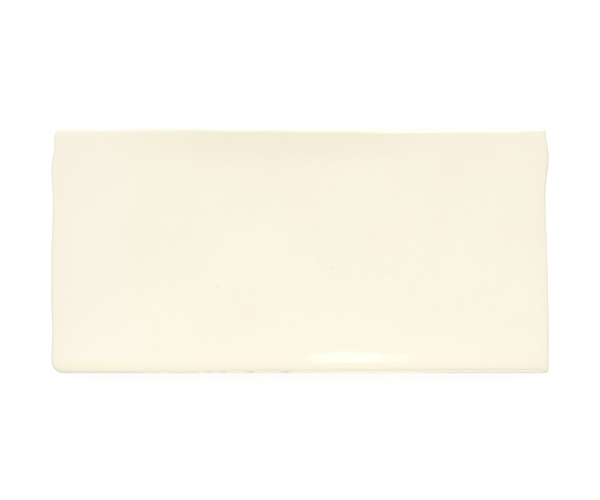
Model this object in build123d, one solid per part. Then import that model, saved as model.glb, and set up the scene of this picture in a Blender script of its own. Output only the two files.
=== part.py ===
from build123d import *
import math
import os

# A pressed and glazed wall tile with hand-worked edges, in millimetres.
# It lies on its back: the glazed face looks up (+Z), its long sides run along X,
# and the origin is the middle of the back.

# Overall sizes
LENGTH = 150.0
WIDTH = 74.2
THICKNESS = 8.5

# How each side wanders, counter-clockwise from the lower left corner. Each pair is a share of
# the side's length and how far the side stands in from the plain rectangle there.
LOWER_SIDE = [(0.0, 0.0), (1.0, 0.0)]
RIGHT_SIDE = [
    (0.0, 0.0), (0.18, 0.0), (0.38, 0.32), (0.54, 0.6), (0.65, 0.9), (0.76, 0.88),
    (0.82, 0.35), (0.877, 0.0), (0.92, 0.27), (0.955, 0.85), (1.0, 1.0),
]
UPPER_SIDE = [
    (0.0, 0.25), (0.12, 0.2), (0.345, 0.38), (0.44, 0.22), (0.5, 0.38), (0.56, 0.18), (0.605, 0.45),
    (0.68, 0.18), (0.76, 0.0), (0.83, 0.1), (0.9, 0.6), (0.953, 0.15), (1.0, 0.08),
]
LEFT_SIDE = [
    (0.0, 0.8), (0.08, 0.97), (0.13, 0.32), (0.24, 0.3), (0.36, 0.48), (0.47, 0.12),
    (0.62, 0.0), (0.74, 0.07), (0.82, 0.28), (1.0, 0.02),
]

# Roundings of the four corners, seen from the front
LOWER_LEFT_RADIUS = 3.6
LOWER_RIGHT_RADIUS = 1.0
UPPER_RIGHT_RADIUS = 1.0
UPPER_LEFT_RADIUS = 3.2

# Rounding that the glaze leaves all round the face
ARRIS_RADIUS = 0.8

# The glazed face: flat in the middle, falling away near its edges and more so towards the lower side,
# where the glaze sagged as it was fired, rolling over along both long sides, with a slow hand-made swell
END_FALL = 0.15
END_FALL_POWER = 20
UPPER_FALL = 0.08
LOWER_FALL = 0.25
SIDE_FALL_POWER = 8
SIDE_ROLL = 0.12
SIDE_ROLL_POWER = 40
SWELL_HEIGHT = 0.12
SWELL_LENGTH = 62.0
SWELL_WIDTH = 43.0
SWELL_SHIFT = -17.0

# The side walls: a straight band below the face, then a slight lean inwards to the back
BAND_HEIGHT = 5.0
BACK_INSET = 0.5

# Keying of the back: a waffle of shallow pockets for the adhesive
POCKET_SIZE = 10.6
POCKET_DEPTH = 0.8
POCKET_DRAFT = 15.0
RIB_WIDTH = 2.4
BORDER = 4.0

# The sheet that shapes the face: how far it reaches past the outline, its points, its accuracy
# and the degrees its surface may have
SHEET_MARGIN = 1.0
SHEET_COLUMNS = 61
SHEET_ROWS = 61
SHEET_TOLERANCE = 0.0005
SHEET_LEAST_DEGREE = 5
SHEET_MOST_DEGREE = 8


def outline(inset):
    """The tile's front outline, with every side moved in by inset."""
    half_length = LENGTH / 2 - inset
    half_width = WIDTH / 2 - inset
    lengths = [2 * half_length, 2 * half_width, 2 * half_length, 2 * half_width]
    sides = [LOWER_SIDE, RIGHT_SIDE, UPPER_SIDE, LEFT_SIDE]
    radii = [LOWER_LEFT_RADIUS, LOWER_RIGHT_RADIUS, UPPER_RIGHT_RADIUS, UPPER_LEFT_RADIUS]
    along = [Vector(1, 0), Vector(0, 1), Vector(-1, 0), Vector(0, -1)]
    inward = [Vector(0, 1), Vector(-1, 0), Vector(0, -1), Vector(1, 0)]
    plain = [
        Vector(-half_length, -half_width),
        Vector(half_length, -half_width),
        Vector(half_length, half_width),
        Vector(-half_length, half_width),
    ]
    # Where two neighbouring sides would meet if the corner were sharp
    corners = [
        plain[k] + inward[k - 1] * sides[k - 1][-1][1] + inward[k] * sides[k][0][1]
        for k in range(4)
    ]
    edges = []
    for k in range(4):
        following = (k + 1) % 4
        arc_start = corners[k] - along[k - 1] * radii[k]
        start = corners[k] + along[k] * radii[k]
        end = corners[following] - along[k] * radii[following]
        between = [
            plain[k] + along[k] * (share * lengths[k]) + inward[k] * stand_in
            for share, stand_in in sides[k][1:-1]
        ]
        edges.append(TangentArc(arc_start, start, tangent=along[k - 1]))
        if between:
            ends = (along[k], along[k])
            edges.append(Spline(start, *between, end, tangents=ends, tangent_scalars=(1, 1)))
        else:
            edges.append(Line(start, end))
    return make_face(edges)


def face_height(x, y):
    """Height of the glazed face above the back."""
    up = 2 * y / WIDTH
    side_fall = UPPER_FALL if y > 0 else LOWER_FALL
    fall = END_FALL * (2 * x / LENGTH) ** END_FALL_POWER
    fall += side_fall * up**SIDE_FALL_POWER + SIDE_ROLL * up**SIDE_ROLL_POWER
    waves_along = math.cos(2 * math.pi * (x - SWELL_SHIFT) / SWELL_LENGTH)
    waves_across = math.sin(2 * math.pi * y / SWELL_WIDTH)
    return THICKNESS - fall - SWELL_HEIGHT * (1 - waves_along * waves_across) / 2


def spread(half, count):
    """Evenly spaced values from -half to half."""
    return [half * (2 * k / (count - 1) - 1) for k in range(count)]


# The pressed blank, taller than the finished tile
lean_top = Pos(0, 0, THICKNESS - BAND_HEIGHT) * outline(0)
blank = loft([outline(BACK_INSET), lean_top], ruled=True)
blank += extrude(lean_top, BAND_HEIGHT + SHEET_MARGIN)

# Everything under the swelling face is kept
sheet = Face.make_surface_from_array_of_points(
    [
        [(x, y, face_height(x, y)) for x in spread(LENGTH / 2 + SHEET_MARGIN, SHEET_COLUMNS)]
        for y in spread(WIDTH / 2 + SHEET_MARGIN, SHEET_ROWS)
    ],
    tol=SHEET_TOLERANCE,
    min_deg=SHEET_LEAST_DEGREE,
    max_deg=SHEET_MOST_DEGREE,
)
under_face = extrude(sheet, 2 * THICKNESS, dir=(0, 0, -1))
tile = blank & under_face

# The glaze rounds the edge of the face
tile = fillet(tile.faces().sort_by(Axis.Z)[-1].edges(), ARRIS_RADIUS)

# The waffle of the back
pitch = POCKET_SIZE + RIB_WIDTH
columns = int((LENGTH - 2 * (BACK_INSET + BORDER) + RIB_WIDTH) // pitch)
rows = int((WIDTH - 2 * (BACK_INSET + BORDER) + RIB_WIDTH) // pitch)
pocket = extrude(Rectangle(POCKET_SIZE, POCKET_SIZE), POCKET_DEPTH, taper=POCKET_DRAFT)
tile -= [place * pocket for place in GridLocations(pitch, pitch, columns, rows)]

os.makedirs("parts", exist_ok=True)
export_step(tile, "parts/tile.step")
print("tile", tile.bounding_box(), "volume", round(tile.volume), "valid", tile.is_valid)
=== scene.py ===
# %% [markdown]
# # A cream glazed wall tile
# One pressed ceramic wall tile lies on its back with its glazed face up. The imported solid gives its
# place and size. It could simply be given a material, but this lesson models the tile again with the
# things that a solid leaves out: the soft ripple of a thick glaze, its run down the sides, the bare
# body below it and the softened ribs of the back.

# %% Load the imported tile
import math

import bmesh
import bpy
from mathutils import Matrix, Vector, noise
from mathutils.bvhtree import BVHTree


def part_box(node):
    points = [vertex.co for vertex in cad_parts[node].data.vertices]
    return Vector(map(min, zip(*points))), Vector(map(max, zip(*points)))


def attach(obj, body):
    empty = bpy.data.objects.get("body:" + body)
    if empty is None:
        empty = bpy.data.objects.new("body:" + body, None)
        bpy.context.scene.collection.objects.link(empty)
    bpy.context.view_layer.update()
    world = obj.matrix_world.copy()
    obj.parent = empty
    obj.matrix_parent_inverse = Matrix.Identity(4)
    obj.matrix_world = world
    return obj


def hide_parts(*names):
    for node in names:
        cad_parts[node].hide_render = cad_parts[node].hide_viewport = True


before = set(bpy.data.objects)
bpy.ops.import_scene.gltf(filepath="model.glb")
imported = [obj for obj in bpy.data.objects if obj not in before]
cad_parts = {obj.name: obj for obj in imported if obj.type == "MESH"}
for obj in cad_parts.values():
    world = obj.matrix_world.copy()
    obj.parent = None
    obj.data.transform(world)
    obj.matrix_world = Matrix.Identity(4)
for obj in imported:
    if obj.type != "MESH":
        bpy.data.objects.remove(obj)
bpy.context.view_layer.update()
MM = 0.001
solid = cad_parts["tile"]
low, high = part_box("tile")
half_length = (high.x - low.x) / 2
half_width = (high.y - low.y) / 2
print("tile", [round(side / MM, 2) for side in high - low], "mm")

# %% [markdown]
# ## The camera
# The photograph looks straight at the face. The tile could be stood up in front of a camera, but it is
# stored lying flat, so the camera hangs over it and looks down. Its distance follows from how much of
# the picture's width the tile fills.

# %% Hang the camera over the tile
PICTURE_WIDTH_PX = 600
TILE_LENGTH_PX = 497.0
LENS_MM = 150
SENSOR_MM = 36
RIM_HEIGHT = 6.5 * MM

picture_width = 2 * half_length * PICTURE_WIDTH_PX / TILE_LENGTH_PX
camera_data = bpy.data.cameras.new("camera")
camera_data.lens = LENS_MM
camera_data.sensor_width = SENSOR_MM
camera = bpy.data.objects.new("camera", camera_data)
camera.location = (0, 0, RIM_HEIGHT + picture_width * LENS_MM / SENSOR_MM)
bpy.context.scene.collection.objects.link(camera)
bpy.context.scene.camera = camera
print("camera", round(camera.location.z, 3), "m over the floor")

# %% [markdown]
# ## The wandering outline
# The sides of the real tile wander by up to a millimetre, as hand-pressed edges do. They could be drawn
# again as a curve, but the solid already has that outline, so it is read off the solid instead: rays
# start outside a plain rounded rectangle and shoot in at the solid's wall. They fan out at the
# rectangle's corners, so that their hits follow each other evenly round the tile.

# %% Aim rays at the solid's wall
CELL = 0.6 * MM
# Corner radii of the rectangle at the left and at the right end
GUIDE_LEFT = 4.0 * MM
GUIDE_RIGHT = 2.4 * MM
REACH = 5.0 * MM

columns = round(2 * half_length / CELL)
rows = round(2 * half_width / CELL)
walls = BVHTree.FromObject(solid, bpy.context.evaluated_depsgraph_get())


def border_place(k):
    """Where the k-th border vertex sits on a square from -1 to 1, going round from its lower left."""
    side_start = (0, columns, columns + rows, 2 * columns + rows)
    if k < side_start[1]:
        return -1 + 2 * k / columns, -1.0
    if k < side_start[2]:
        return 1.0, -1 + 2 * (k - side_start[1]) / rows
    if k < side_start[3]:
        return 1 - 2 * (k - side_start[2]) / columns, 1.0
    return -1.0, 1 - 2 * (k - side_start[3]) / rows


def guide(k):
    """A point on the rounded rectangle for the k-th border vertex, and the way out of it."""
    across, up = border_place(k)
    corner = GUIDE_LEFT if across < 0 else GUIDE_RIGHT
    flat = Vector((across * half_length, up * half_width, 0))
    core_x = half_length - corner
    core_y = half_width - corner
    core = Vector((max(-core_x, min(core_x, flat.x)), max(-core_y, min(core_y, flat.y)), 0))
    outward = (flat - core).normalized()
    return core + outward * corner, outward


def wall_at(k, level):
    """The point of the solid's wall that faces the k-th border vertex at that height."""
    place, outward = guide(k)
    start = place + outward * REACH + Vector((0, 0, level))
    return walls.ray_cast(start, -outward, 2 * REACH)[0]


print(columns, "cells along the tile and", rows, "across it")

# %% [markdown]
# ## A loop of vertices
# The solid's wall is made of short flats, which a glossy edge would show. So a circle of vertices is
# moved onto the wall and then relaxed a little, with a step back after each step in so that the corners
# keep their size. Each vertex carries two values along: its station on the loop, and how much glaze
# covers it. The foot is measured too, because the sides lean in towards the back.

# %% Lay the loop on the wall
BAND_LEVEL = 5.0 * MM
FOOT_LEVEL = 0.05 * MM
RELAX_PASSES = 4
RELAX_SHARE = 0.5

bm = bmesh.new()
station = bm.verts.layers.int.new("station")
glazed = bm.verts.layers.float.new("glaze")
border = bmesh.ops.create_circle(bm, segments=2 * (columns + rows), radius=half_width)["verts"]
stations = range(len(border))
for k in stations:
    border[k][station] = k
    border[k].co = wall_at(k, BAND_LEVEL)
for step in range(RELAX_PASSES):
    for factor in (RELAX_SHARE, -RELAX_SHARE):
        bmesh.ops.smooth_vert(bm, verts=border, factor=factor, use_axis_x=True, use_axis_y=True)
outline = [vertex.co.copy() for vertex in border]
outward = [guide(k)[1] for k in stations]
foot_inset = [(wall_at(k, BAND_LEVEL) - wall_at(k, FOOT_LEVEL)).xy.length for k in stations]
print(len(border), "vertices; the foot stands in by", round(min(foot_inset) / MM, 2), "mm or more")

# %% [markdown]
# ## The shape of the face
# Glaze is molten glass: it levels itself, falls away near the edges and keeps a slow swell where the
# pressed clay below it isn't quite flat. The face could be sculpted, but a formula puts it exactly on
# the solid's face. A ripple of about a hundredth of a millimetre goes on top, because a glaze that is
# close to a mirror shows even that.

# %% Describe the face
THICKNESS = 8.5 * MM
END_FALL = 0.15 * MM
END_FALL_POWER = 20
UPPER_FALL = 0.08 * MM
LOWER_FALL = 0.25 * MM
FALL_POWER = 8
SIDE_ROLL = 0.12 * MM
SIDE_ROLL_POWER = 40
SWELL_HEIGHT = 0.12 * MM
SWELL_LENGTH = 62.0 * MM
SWELL_WIDTH = 43.0 * MM
SWELL_SHIFT = -17.0 * MM
RIPPLE_HEIGHT = 0.012 * MM
RIPPLE_SIZE = 14.0 * MM


def face_height(x, y):
    """Height of the glazed face over the floor."""
    up = y / half_width
    side_fall = UPPER_FALL if y > 0 else LOWER_FALL
    fall = END_FALL * (x / half_length) ** END_FALL_POWER
    fall += side_fall * up ** FALL_POWER + SIDE_ROLL * up ** SIDE_ROLL_POWER
    waves_along = math.cos(2 * math.pi * (x - SWELL_SHIFT) / SWELL_LENGTH)
    waves_across = math.sin(2 * math.pi * y / SWELL_WIDTH)
    swell = SWELL_HEIGHT * (1 - waves_along * waves_across) / 2
    ripple = RIPPLE_HEIGHT * noise.noise(Vector((x, y, 0)) / RIPPLE_SIZE)
    return THICKNESS - fall - swell + ripple


print("middle of the face", round(face_height(0, 0) / MM, 2), "mm over the floor")

# %% [markdown]
# ## The rounding of the edge
# Surface tension pulls the glaze round over the edge of the tile, and not evenly: along the upper side
# it left a wide roll that grows deeper to the right, and along the lower side the roll comes and goes.
# A bevel would be the same everywhere. So the rounding's width and depth are given at a few places from
# left to right, with a soft step from each place to the next.

# %% Give the rounding its width and depth
ARRIS_RADIUS = 0.8 * MM
ARRIS_CHANGE = 0.12
ARRIS_CHANGE_LENGTH = 12.0 * MM
# Along the upper and the lower side: place along X, and width and depth as shares of the radius
UPPER_ARRIS = (
    (-72.0 * MM, 2.1, 0.5), (-57.0 * MM, 2.2, 0.35), (-30.0 * MM, 2.2, 0.35), (-15.0 * MM, 2.1, 0.55),
    (5.0 * MM, 2.2, 0.95), (30.0 * MM, 2.3, 1.65), (62.0 * MM, 2.3, 1.8), (73.0 * MM, 1.4, 1.4),
)
LOWER_ARRIS = (
    (-73.0 * MM, 1.4, 0.9), (-66.0 * MM, 1.4, 0.65), (-52.0 * MM, 1.4, 0.5), (-42.0 * MM, 1.4, 0.25),
    (-30.0 * MM, 1.4, 0.35), (-20.0 * MM, 1.4, 1.35), (-6.0 * MM, 1.4, 1.3), (8.0 * MM, 1.4, 1.05),
    (34.0 * MM, 1.4, 1.05), (46.0 * MM, 1.4, 1.35),
)
# The part of a corner's turn over which those shares fade out
CORNER_FADE = (0.4, 1.0)


def ramp(value, start, end):
    """Rises softly from 0 at start to 1 at end."""
    share = max(0.0, min(1.0, (value - start) / (end - start)))
    return share * share * (3 - 2 * share)


def blend(start, end, share):
    """Moves from start at share 0 to end at share 1."""
    return start + (end - start) * share


def along(knots, x, column):
    """A value that moves softly from knot to knot along X."""
    result = knots[0][column]
    for before, after in zip(knots, knots[1:]):
        result += (after[column] - before[column]) * ramp(x, before[0], after[0])
    return result


radius = []
depth = []
for point, direction in zip(outline, outward):
    plain = ARRIS_RADIUS * (1 + ARRIS_CHANGE * noise.noise(point / ARRIS_CHANGE_LENGTH))
    knots = UPPER_ARRIS if direction.y > 0 else LOWER_ARRIS
    turned = ramp(abs(direction.y), *CORNER_FADE)
    radius.append(plain * blend(1.0, along(knots, point.x, 1), turned))
    depth.append(plain * blend(1.0, along(knots, point.x, 2), turned))
print("rounding", round(min(radius) / MM, 2), "to", round(max(radius) / MM, 2), "mm wide")

# %% [markdown]
# ## The glazed face
# The face could be one big polygon, but then it couldn't swell. The loop is drawn in to where the
# rounding begins, Grid Fill closes it with a net of quads, and smoothing spaces the net evenly. Then
# each vertex is lifted to the height that the formula gives.

# %% Fill the loop and lift the face
NET_PASSES = 60
NET_SHARE = 0.5

for k, vertex in enumerate(border):
    vertex.co = outline[k] - outward[k] * radius[k]
rim_edges = list(bm.edges)
long_sides = [
    edge for edge in rim_edges
    if all(abs(border_place(vertex[station])[1]) == 1 for vertex in edge.verts)
    and edge.verts[0].co.y * edge.verts[1].co.y > 0
]
bmesh.ops.grid_fill(bm, edges=long_sides, use_smooth=True)
inner = [vertex for vertex in bm.verts if not vertex.is_boundary]
for step in range(NET_PASSES):
    bmesh.ops.smooth_vert(bm, verts=inner, factor=NET_SHARE, use_axis_x=True, use_axis_y=True)
for vertex in bm.verts:
    vertex[glazed] = 1.0
    vertex.co.z = face_height(vertex.co.x, vertex.co.y)
rim_height = [vertex.co.z for vertex in border]
misfit = max(
    abs(walls.ray_cast(vertex.co + Vector((0, 0, REACH)), Vector((0, 0, -1)))[0].z - vertex.co.z)
    for vertex in bm.verts
)
print(len(bm.faces), "quads; at most", round(misfit / MM, 3), "mm from the solid's face")

# %% [markdown]
# ## The lip on the lower side
# Along most of the lower side the rounding stops short on a thin lip, where glaze ran down the standing
# tile and set against its support. Towards the left the lip breaks up into drips and is gone. It could
# be a separate strip, but it is one glass with the face. So three values for each station describe it,
# and the rounding bends over to it later: how much of a lip there is, how wide it is, and how far its
# outer edge is rounded.

# %% Weigh the lip along the lower side
LIP_START = -22.0 * MM
LIP_FADE = 1.2 * MM
LIP_CORNER = 74.4 * MM
LIP_BREAKS = (-15.0 * MM, -4.5 * MM)
LIP_BREAK_HALF = 1.6 * MM
# Drips to the left of the lip: the middle of each and half its width
LIP_DRIPS = (
    (-46.0 * MM, 1.0 * MM), (-41.0 * MM, 1.8 * MM), (-29.6 * MM, 1.6 * MM), (-25.2 * MM, 1.8 * MM),
)
LIP_WIDTH_LEFT = 0.7 * MM
LIP_WIDTH_RIGHT = 1.0 * MM
# How far the lip's outer edge is rounded: place along X, and a share of the lip's own profile
LIP_ROUNDING = (
    (-24.0 * MM, 0.15), (-22.0 * MM, 0.5), (-4.0 * MM, 0.5),
    (2.0 * MM, 0.32), (34.0 * MM, 0.3), (48.0 * MM, 1.0),
)


def lip_weight(k):
    """How much of a lip there is at station k, from 0 to 1."""
    x = outline[k].x
    weight = ramp(x, LIP_START - LIP_FADE, LIP_START) * ramp(x, LIP_CORNER, LIP_CORNER - LIP_FADE)
    for middle in LIP_BREAKS:
        weight *= ramp(abs(x - middle), 0, LIP_BREAK_HALF)
    drips = [ramp(abs(x - middle), half, half / 2) for middle, half in LIP_DRIPS]
    return max(weight, *drips) * ramp(-outward[k].y, *CORNER_FADE)


lip = [lip_weight(k) for k in stations]
lip_width = [
    blend(LIP_WIDTH_LEFT, LIP_WIDTH_RIGHT, ramp(point.x, LIP_START, LIP_CORNER)) for point in outline
]
lip_rounding = [along(LIP_ROUNDING, point.x, 1) for point in outline]
# Under a lip the edge is at least as deep as the plain rounding
depth = [blend(drop, max(drop, ARRIS_RADIUS), weight) for drop, weight in zip(depth, lip)]
print("the lip covers", round(sum(lip) * CELL / MM), "mm of the lower side")

# %% [markdown]
# ## Over the edge
# The rounding goes on from the rim of the face. Each ring of edges is extruded from the last one, in a
# quarter turn that is pulled over to the lip where there is one. A bevel modifier couldn't follow the
# lip. The edge of the two ends is painted shade: it takes a little of the buff body's colour, and more
# of it towards the upper right corner, where the glaze also turns partly dull.

# %% Extrude the rounded edge
# The lip's profile from the face out, one point for each ring: across counts from the outer edge (0)
# over the lip's inner end (1) to the face (2), and down is a share of the edge's depth
LIP_PROFILE = (
    (1.5, 0.02), (1.0, 0.07), (0.85, 0.11), (0.7, 0.1),
    (0.5, 0.03), (0.3, 0.07), (0.08, 0.3), (0.0, 1.0),
)
# Points of the profile further out than this follow the lip's rounding
LIP_TOP = 0.5
# How much of the body's colour is painted on the edge of the two ends as shade, and where along the
# right end that painted shade grows
EDGE_SHADE_ENDS = 0.25
EDGE_SHADE_CORNER = 0.65
CORNER_SHADE_LOW = 5.0 * MM
CORNER_SHADE_HIGH = 28.0 * MM


def extend(edges, points, cover):
    """Extrudes a ring of edges to an inset and a height, with so much glaze, at each station."""
    made = bmesh.ops.extrude_edge_only(bm, edges=edges)["geom"]
    for item in made:
        if isinstance(item, bmesh.types.BMVert):
            k = item[station]
            inset, level = points[k]
            place = outline[k] - outward[k] * inset
            item.co = (place.x, place.y, level)
            item[glazed] = cover[k]
    return [item for item in made if isinstance(item, bmesh.types.BMEdge) and item.is_boundary]


def edge_point(k, turn, lip_point):
    """Inset and height of the rounded edge at station k, pulled over to the lip where there is one."""
    inset = radius[k] * (1 - math.sin(turn))
    drop = depth[k] * (1 - math.cos(turn))
    across, down = lip_point
    if across < LIP_TOP:
        across *= lip_rounding[k]
    if across <= 1:
        lip_inset = across * lip_width[k]
    else:
        lip_inset = blend(lip_width[k], radius[k], across - 1)
    return blend(inset, lip_inset, lip[k]), rim_height[k] - blend(drop, down * depth[k], lip[k])


# Painted shade: the edges of the two ends take some of the body's darker colour, most at the upper
# right
edge_shade = []
for point, direction in zip(outline, outward):
    corner_shade = ramp(point.y, CORNER_SHADE_LOW, CORNER_SHADE_HIGH) if point.x > 0 else 0.0
    at_end = 1 - ramp(abs(direction.y), *CORNER_FADE)
    edge_shade.append(blend(EDGE_SHADE_ENDS, EDGE_SHADE_CORNER, corner_shade) * at_end)
ring = rim_edges
for step, lip_point in enumerate(LIP_PROFILE, start=1):
    share = step / len(LIP_PROFILE)
    points = [edge_point(k, share * math.pi / 2, lip_point) for k in stations]
    ring = extend(ring, points, [1 - thin * share for thin in edge_shade])
print(len(LIP_PROFILE), "rings over the edge; the glaze covers", round(1 - max(edge_shade), 2), "or more")

# %% [markdown]
# ## Down the sides
# The glaze runs part of the way down the sides before it sets, and below that line the fired body is
# bare. It could be painted on a plain wall, but real glaze has a thickness. So the rings go on straight
# down to the glaze line, take a small step in where the glaze ends, and follow the leaning body to a
# softened foot.

# %% Extrude the glaze and the bare body
GLAZE_LINE = 3.1 * MM
GLAZE_RUN = 0.9 * MM
GLAZE_RUN_LENGTH = 9.0 * MM
GLAZE_THICKNESS = 0.15 * MM
GLAZE_LIP = 0.12 * MM
GLAZE_STEPS = 6
BODY_STEPS = 4
LEAN_TOP = 3.5 * MM
FOOT = 0.3 * MM


def lean(k, level):
    """How far the leaning side stands in at station k and that height."""
    return foot_inset[k] * max(0.0, 1 - level / LEAN_TOP)


wall_top = [height - drop for height, drop in zip(rim_height, depth)]
glaze_line = [GLAZE_LINE + GLAZE_RUN * noise.noise(point / GLAZE_RUN_LENGTH) for point in outline]
bare = [0.0] * len(outline)
for step in range(1, GLAZE_STEPS + 1):
    share = step / GLAZE_STEPS
    levels = [blend(top, line, share) for top, line in zip(wall_top, glaze_line)]
    points = [(lean(k, level), level) for k, level in enumerate(levels)]
    ring = extend(ring, points, [1 - thin * (1 - share) for thin in edge_shade])
for step in range(BODY_STEPS + 1):
    levels = [blend(line - GLAZE_LIP, FOOT, step / BODY_STEPS) for line in glaze_line]
    points = [(lean(k, level) + GLAZE_THICKNESS, level) for k, level in enumerate(levels)]
    ring = extend(ring, points, bare)
ring = extend(ring, [(inset + GLAZE_THICKNESS + FOOT, 0.0) for inset in foot_inset], bare)
print("glaze line from", round(min(glaze_line) / MM, 2), "to", round(max(glaze_line) / MM, 2), "mm")

# %% [markdown]
# ## The keyed back
# The back of a pressed tile carries a waffle of shallow pockets that the adhesive bites into. They
# could be cut out of a plain back with booleans, but a grid gives cleaner faces. Its lines lie along
# the edges of the ribs, and every second cell of every second row becomes a pocket.

# %% Lay a grid along the ribs
POCKET_SIZE = 10.6 * MM
RIB_WIDTH = 2.4 * MM
POCKET_COLUMNS = 11
POCKET_ROWS = 5


def keying_line(share, count):
    """Place of a grid line of the back; share runs from -1 to 1 over the pockets and their border."""
    span = count * POCKET_SIZE + (count - 1) * RIB_WIDTH
    line = round((share + 1) / 2 * (2 * count + 1))
    if line == 0:
        return -(span + RIB_WIDTH) / 2
    if line == 2 * count + 1:
        return (span + RIB_WIDTH) / 2
    pocket, far_edge = divmod(line - 1, 2)
    return -span / 2 + pocket * (POCKET_SIZE + RIB_WIDTH) + far_edge * POCKET_SIZE


def in_pocket(share, count):
    """Whether a share from -1 to 1 falls between two ribs."""
    return int((share + 1) / 2 * (2 * count + 1)) % 2 == 1


faces_so_far = len(bm.faces)
waffle = bmesh.ops.create_grid(
    bm, x_segments=2 * POCKET_COLUMNS + 1, y_segments=2 * POCKET_ROWS + 1, size=1
)["verts"]
bm.faces.ensure_lookup_table()
cells = bm.faces[faces_so_far:]
pockets = []
for cell in cells:
    middle = cell.calc_center_median()
    if in_pocket(middle.x, POCKET_COLUMNS) and in_pocket(middle.y, POCKET_ROWS):
        pockets.append(cell)
for vertex in waffle:
    vertex.co = (keying_line(vertex.co.x, POCKET_COLUMNS), keying_line(vertex.co.y, POCKET_ROWS), 0)
bmesh.ops.reverse_faces(bm, faces=cells)
print(len(pockets), "pockets in", len(cells), "cells")

# %% [markdown]
# ## Pressing the pockets
# A press leaves pockets with a little draft and soft edges, or the clay would stick to it. So the cells
# are inset by the draft as they are pushed in, and their creases are bevelled. Bridge Edge Loops joins
# the grid to the last ring of the sides and closes the body.

# %% Press the pockets and close the back
POCKET_DEPTH = 0.8 * MM
POCKET_DRAFT = math.radians(15.0)
RIB_ROUNDING = 0.25 * MM
RIB_SEGMENTS = 2
CREASE_ANGLE = math.radians(30)
WELD = 0.001 * MM

walls_of_pockets = bmesh.ops.inset_individual(
    bm, faces=pockets, thickness=POCKET_DEPTH * math.tan(POCKET_DRAFT), depth=-POCKET_DEPTH
)["faces"]
back = set(cells) | set(walls_of_pockets)
creases = [
    edge for edge in bm.edges
    if len(edge.link_faces) == 2 and edge.link_faces[0] in back
    and edge.calc_face_angle() > CREASE_ANGLE
]
bmesh.ops.bevel(
    bm, geom=creases, offset=RIB_ROUNDING, segments=RIB_SEGMENTS,
    profile=0.5, affect="EDGES", material=-1,
)
bmesh.ops.bridge_loops(bm, edges=[edge for edge in bm.edges if edge.is_boundary])
bmesh.ops.remove_doubles(bm, verts=bm.verts, dist=WELD)
bmesh.ops.recalc_face_normals(bm, faces=bm.faces)
open_edges = sum(edge.is_boundary for edge in bm.edges)
print(len(creases), "creases softened;", open_edges, "open edges left")

# %% [markdown]
# ## One finished piece
# Body and glaze are fused in the kiln, so they become one object, smooth-shaded and with its place in
# the mesh. The foot and the pockets keep their creases. The piece stands in for the imported solid,
# which is hidden.

# %% Make the tile object
bm.verts.layers.int.remove(station)
mesh = bpy.data.meshes.new("glazed_tile")
triangles = sum(len(face.verts) - 2 for face in bm.faces)
bm.to_mesh(mesh)
bm.free()
mesh.polygons.foreach_set("use_smooth", [True] * len(mesh.polygons))
mesh.set_sharp_from_angle(angle=CREASE_ANGLE)
tile = bpy.data.objects.new("glazed_tile", mesh)
bpy.context.scene.collection.objects.link(tile)
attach(tile, "root")
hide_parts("tile")
print(triangles, "triangles")

# %% [markdown]
# ## Writing shaders like sums
# A node tree can be laid node by node, but a sum is easier to read. This small class holds one output
# socket, and adding, subtracting or multiplying it lays a Math node. The reflected forms are there too,
# so that 1 - mask works.

# %% A wire that does arithmetic
class Wire:
    """One output socket of a recipe."""

    def __init__(self, recipe, socket):
        self.recipe = recipe
        self.socket = socket

    def math(self, operation, first, second):
        inputs = {"Value": first, "Value_001": second}
        return self.recipe.node("ShaderNodeMath", {"operation": operation}, inputs)

    def __add__(self, other):
        return self.math("ADD", self, other)

    def __sub__(self, other):
        return self.math("SUBTRACT", self, other)

    def __rsub__(self, other):
        return self.math("SUBTRACT", other, self)

    def __mul__(self, other):
        return self.math("MULTIPLY", self, other)

    __radd__ = __add__
    __rmul__ = __mul__


print("wires add, subtract and multiply")

# %% [markdown]
# ## A recipe of nodes
# A finish is a recipe of nodes. One method lays any node from its type, its settings and the values or
# links of its sockets. The others are the few mixtures that the glaze, the floor and the light share:
# a soft step, a soft round spot, a noise, and mixing two colours or two shaders.

# %% A recipe for a finish
MIXED_COLOR = 2


class Recipe:
    """The node tree of a material or a world, started from nothing."""

    def __init__(self, owner):
        owner.use_nodes = True
        self.tree = owner.node_tree
        self.tree.nodes.clear()

    def node(self, kind, settings, inputs, output=0):
        """Lays a node, sets its settings and then its sockets, and returns one of its outputs."""
        made = self.tree.nodes.new(kind)
        for name, value in settings.items():
            setattr(made, name, value)
        sockets = {socket.identifier: socket for socket in made.inputs}
        for name, value in inputs.items():
            if isinstance(value, Wire):
                self.tree.links.new(value.socket, sockets[name])
            else:
                sockets[name].default_value = value
        return Wire(self, made.outputs[output]) if made.outputs else None

    def smooth_step(self, value, low_end, high_end):
        """Rises softly from 0 at low_end to 1 at high_end."""
        inputs = {"Value": value, "From Min": low_end, "From Max": high_end}
        return self.node("ShaderNodeMapRange", {"interpolation_type": "SMOOTHSTEP"}, inputs)

    def vector(self, operation, first, second, output="Vector"):
        inputs = {"Vector": first, "Vector_001": second}
        return self.node("ShaderNodeVectorMath", {"operation": operation}, inputs, output)

    def soft_spot(self, place, middle, inner, outer, stretch=(1, 1, 1)):
        """1 within inner of the middle and 0 beyond outer; stretch above 1 narrows it along an axis."""
        offset = self.vector("SUBTRACT", place, middle)
        away = self.vector("DISTANCE", self.vector("MULTIPLY", offset, stretch), (0, 0, 0), "Value")
        return 1 - self.smooth_step(away, inner, outer)

    def noise(self, place, per_metre, detail):
        inputs = {"Vector": place, "Scale": per_metre, "Detail": detail}
        return self.node("ShaderNodeTexNoise", {}, inputs)

    def mix_colors(self, factor, first, second):
        inputs = {"Factor_Float": factor, "A_Color": first, "B_Color": second}
        return self.node("ShaderNodeMix", {"data_type": "RGBA"}, inputs, MIXED_COLOR)

    def mix_shaders(self, factor, first, second):
        inputs = {"Fac": factor, "Shader": first, "Shader_001": second}
        return self.node("ShaderNodeMixShader", {}, inputs)


print("recipes lay their nodes")

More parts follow.
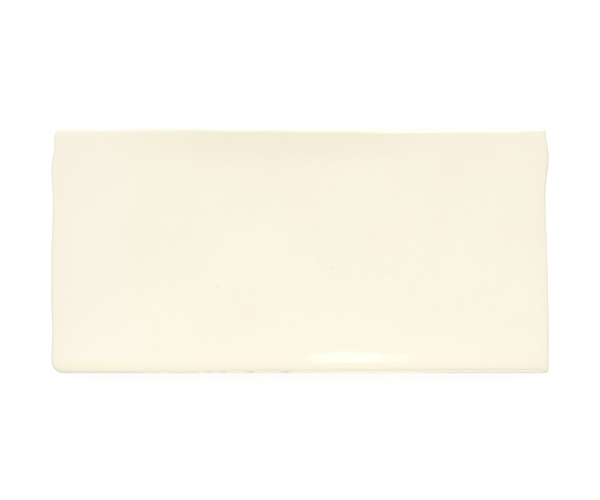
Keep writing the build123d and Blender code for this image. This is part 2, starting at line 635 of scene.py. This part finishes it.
# %% [markdown]
# ## The cream of the glaze
# One material covers the piece, as one firing made it. The glaze is a warm cream that is never quite
# even: wide clouds and a finer mottling show where it lies thicker. A painted texture could hold them,
# but noise on the piece's own coordinates has no seams and stays sharp close up.

# %% Mix the cream
GLAZE_PALE = (0.908, 0.861, 0.715, 1)
GLAZE_DEEP = (0.882, 0.832, 0.679, 1)
# Waves per metre and detail of each noise
CLOUDS = (80, 3)
MOTTLE = (650, 2)
MOTTLE_SHARE = 0.5
CLOUD_RANGE = (0.2, 0.8)

material = bpy.data.materials.new("cream glaze")
mesh.materials.append(material)
finish = Recipe(material)
place = finish.node("ShaderNodeTexCoord", {}, {}, "Object")
clouds = finish.noise(place, *CLOUDS)
mottle = finish.noise(place, *MOTTLE)
cloudy = clouds * (1 - MOTTLE_SHARE) + mottle * MOTTLE_SHARE
glaze_depth = finish.smooth_step(cloudy, *CLOUD_RANGE)
glaze_color = finish.mix_colors(glaze_depth, GLAZE_PALE, GLAZE_DEEP)
print(len(finish.tree.nodes), "nodes in the cream")

# %% [markdown]
# ## Paler and deeper places
# The glaze is paler where it drew thin at the left end and deeper where it sagged to the lower side.
# The upper rim is painted paler as painted light, and a band below it darker as painted shade. Two
# pinholes show where bubbles broke. Vertex colours could mark these places, but soft steps along the
# axes and soft spots say it in fewer words, and they mix into the cream one after the other.

# %% Mix in the paler and deeper places
GLAZE_THIN = (0.896, 0.848, 0.722, 1)
THIN_END = -75.0 * MM
THIN_START = -25.0 * MM
# Painted shade: a darker band below the rim of the upper side
SHADE_BAND_COLOR = (0.86, 0.808, 0.655, 1)
SHADE_BAND_MIDDLE = (-6.0 * MM, 33.0 * MM, 8.4 * MM)
# The painted shade band is long and narrow, and height doesn't count
SHADE_BAND_STRETCH = (1.0, 5.5, 0.0)
SHADE_BAND_INNER = 15.0 * MM
SHADE_BAND_OUTER = 56.0 * MM
GLAZE_SAG = (0.884, 0.828, 0.658, 1)
SAG_LOW = -36.2 * MM
SAG_HIGH = -32.5 * MM
# The painted light on the rim of the upper side: where it begins and is full, across the tile and in
# height
# Painted light: the upper rim is paler where it faces the light
RIM_LIGHT_COLOR = (0.94, 0.915, 0.84, 1)
RIM_LIGHT_ACROSS = (35.0 * MM, 36.9 * MM)
RIM_LIGHT_UP = (5.6 * MM, 7.2 * MM)
PINHOLE_COLOR = (0.84, 0.79, 0.63, 1)
PINHOLES = ((9.3 * MM, -5.7 * MM, 8.4 * MM), (-25.0 * MM, -11.1 * MM, 8.4 * MM))
PINHOLE_RADIUS = 0.8 * MM

x, y, z = (finish.node("ShaderNodeSeparateXYZ", {}, {"Vector": place}, axis) for axis in "XYZ")
thin = 1 - finish.smooth_step(x, THIN_END, THIN_START)
# Mask of the painted shade below the upper rim
shade_band = finish.soft_spot(place, SHADE_BAND_MIDDLE, SHADE_BAND_INNER, SHADE_BAND_OUTER, SHADE_BAND_STRETCH)
sag = 1 - finish.smooth_step(y, SAG_LOW, SAG_HIGH)
# Mask of the painted light on the upper rim
rim_light = finish.smooth_step(y, *RIM_LIGHT_ACROSS) * finish.smooth_step(z, *RIM_LIGHT_UP)
first_hole, second_hole = (finish.soft_spot(place, spot, 0.0, PINHOLE_RADIUS) for spot in PINHOLES)
pinhole = first_hole + second_hole
glaze_color = finish.mix_colors(thin, glaze_color, GLAZE_THIN)
glaze_color = finish.mix_colors(shade_band, glaze_color, SHADE_BAND_COLOR)
glaze_color = finish.mix_colors(sag, glaze_color, GLAZE_SAG)
glaze_color = finish.mix_colors(rim_light, glaze_color, RIM_LIGHT_COLOR)
glaze_color = finish.mix_colors(pinhole, glaze_color, PINHOLE_COLOR)
print(len(finish.tree.nodes), "nodes with its paler and deeper places")

# %% [markdown]
# ## Glass over clay
# Set glaze is close to a mirror, with a weak orange peel. The fired body below the glaze line is pale
# buff, dull and sandy. Two materials would meet in a hard line, so one shader blends from body to glaze
# by the value that each vertex carries. The relief is in metres, so the bump's distance is 1.

# %% Finish the glaze and the body
BODY_PALE = (0.76, 0.68, 0.56, 1)
BODY_DEEP = (0.66, 0.57, 0.45, 1)
BODY_ROUGHNESS = 0.85
GRAIN = (2400, 3)
GRAIN_HEIGHT = 0.05 * MM
PEEL = (300, 1)
PEEL_HEIGHT = 0.003 * MM
PINHOLE_DEPTH = 0.004 * MM
GLAZE_ROUGHNESS = 0.02
GLAZE_ROUGHNESS_CHANGE = 0.02
GLASSY_FROM = 0.6

glaze = finish.node("ShaderNodeAttribute", {"attribute_name": "glaze"}, {}, "Fac")
glassy = finish.smooth_step(glaze, 0.0, GLASSY_FROM)
sandy = 1 - glassy
grain = finish.noise(place, *GRAIN)
peel = finish.noise(place, *PEEL)
body_color = finish.mix_colors(grain, BODY_PALE, BODY_DEEP)
shine = clouds * GLAZE_ROUGHNESS_CHANGE + GLAZE_ROUGHNESS
relief = glassy * peel * PEEL_HEIGHT + sandy * grain * GRAIN_HEIGHT - pinhole * PINHOLE_DEPTH
bump = {"Strength": 1.0, "Distance": 1.0, "Height": relief}
surface = {
    "Base Color": finish.mix_colors(glaze, body_color, glaze_color),
    "Roughness": glassy * shine + sandy * BODY_ROUGHNESS,
    "Normal": finish.node("ShaderNodeBump", {}, bump),
}
ceramic = finish.node("ShaderNodeBsdfPrincipled", {}, surface)
finish.node("ShaderNodeOutputMaterial", {}, {"Surface": ceramic})
print(len(finish.tree.nodes), "nodes in the whole finish")

# %% [markdown]
# ## The floor
# The photograph has a plain white ground. A white floor would throw light up at the tile, so the floor
# is grey to the light and glows only where the camera or a reflection sees it. It still takes the
# tile's soft shadow.

# %% Lay the floor
FLOOR_HALF = 1.5
FLOOR_COLOR = (0.3, 0.3, 0.3, 1)
FLOOR_ROUGHNESS = 0.9
FLOOR_GLOW = 0.78
WHITE = (1, 1, 1, 1)

floor_mesh = bpy.data.meshes.new("floor")
floor_bm = bmesh.new()
bmesh.ops.create_grid(floor_bm, x_segments=1, y_segments=1, size=FLOOR_HALF)
floor_bm.to_mesh(floor_mesh)
floor_bm.free()
floor = bpy.data.objects.new("floor", floor_mesh)
bpy.context.scene.collection.objects.link(floor)
floor_material = bpy.data.materials.new("pale floor")
floor_mesh.materials.append(floor_material)
ground = Recipe(floor_material)
matte = {"Base Color": FLOOR_COLOR, "Roughness": FLOOR_ROUGHNESS}
glowing = {**matte, "Emission Color": WHITE, "Emission Strength": FLOOR_GLOW}
plain_floor = ground.node("ShaderNodeBsdfPrincipled", {}, matte)
white_floor = ground.node("ShaderNodeBsdfPrincipled", {}, glowing)
by_camera, by_gloss, by_transmission = (
    ground.node("ShaderNodeLightPath", {}, {}, name)
    for name in ("Is Camera Ray", "Is Glossy Ray", "Is Transmission Ray")
)
in_sight = by_camera + by_gloss + by_transmission
both = ground.mix_shaders(in_sight, plain_floor, white_floor)
ground.node("ShaderNodeOutputMaterial", {}, {"Surface": both})
print("floor", 2 * FLOOR_HALF, "m wide")

# %% [markdown]
# ## The dome of light
# The light in the photograph is soft and comes from above its top edge. Big lamps could give it, but a
# glossy face mirrors their hard edges, so a pale dome does most of the work, with a soft window on that
# side. The window has a sill, so that a low view doesn't mirror it all over the face. The dome also
# glows a little to the near side of straight up: the glaze mirrors that glow, which is why its lower
# half looks paler.

# %% Light the dome
HORIZON_LEVEL = 1.1
ZENITH_LEVEL = 0.675
# Heights on the dome, from 0 at the horizon to 1 at the top: between which the horizon's level gives
# way to the zenith's, and between which the window's light fades in over its sill
ZENITH_FADE = (0.0, 0.9)
WINDOW_SILL = (0.34, 0.52)
WINDOW_LEVEL = 3.0
WINDOW_PLACE = (0.0, 0.77, 0.64)
WINDOW_INNER = 0.1
WINDOW_OUTER = 0.75
GLOW_LEVEL = 2.2
GLOW_PLACE = (0.01, -0.1, 0.995)
GLOW_STRETCH = (0.8, 1.0, 1.0)
GLOW_INNER = 0.03
GLOW_OUTER = 0.19

world = bpy.data.worlds.new("studio")
bpy.context.scene.world = world
dome = Recipe(world)
sky = dome.node("ShaderNodeTexCoord", {}, {}, "Generated")
up = dome.node("ShaderNodeSeparateXYZ", {}, {"Vector": sky}, "Z")
horizon, zenith, window, glow = (
    dome.node("ShaderNodeBackground", {}, {"Color": WHITE, "Strength": level})
    for level in (HORIZON_LEVEL, ZENITH_LEVEL, WINDOW_LEVEL, GLOW_LEVEL)
)
near_window = dome.soft_spot(sky, WINDOW_PLACE, WINDOW_INNER, WINDOW_OUTER)
over_sill = dome.smooth_step(up, *WINDOW_SILL)
near_glow = dome.soft_spot(sky, GLOW_PLACE, GLOW_INNER, GLOW_OUTER, GLOW_STRETCH)
light = dome.mix_shaders(dome.smooth_step(up, *ZENITH_FADE), horizon, zenith)
light = dome.mix_shaders(near_window * over_sill, light, window)
light = dome.mix_shaders(near_glow, light, glow)
dome.node("ShaderNodeOutputWorld", {}, {"Surface": light})
bpy.context.scene.view_settings.view_transform = "Standard"
print(len(dome.tree.nodes), "nodes in the dome")

# %% [markdown]
# ## Two small lamps
# The bright spot in the middle of the lower half is the mirror image of a small lamp, and the spot's
# tail that of a faint one beside it. Spots painted on the face would stay there in every view, so real
# lamps hang over the tile. A rectangular lamp that isn't turned looks straight down.

# %% Hang the lamps
LAMP_HEIGHT = 1.0
LAMP_FORWARD = -0.122
# Each lamp's place along X, its size along X and Y, and its watts
LAMPS = {
    "small lamp": (0.0337, 0.0235, 0.034, 0.0072),
    "faint lamp": (0.056, 0.019, 0.03, 0.0025),
}

for name, (sideways, length, width, watts) in LAMPS.items():
    lamp_data = bpy.data.lights.new(name, "AREA")
    lamp_data.shape = "RECTANGLE"
    lamp_data.size = length
    lamp_data.size_y = width
    lamp_data.energy = watts
    lamp = bpy.data.objects.new(name, lamp_data)
    lamp.location = (sideways, LAMP_FORWARD, LAMP_HEIGHT)
    bpy.context.scene.collection.objects.link(lamp)
print(len(LAMPS), "lamps", LAMP_HEIGHT, "m over the floor")
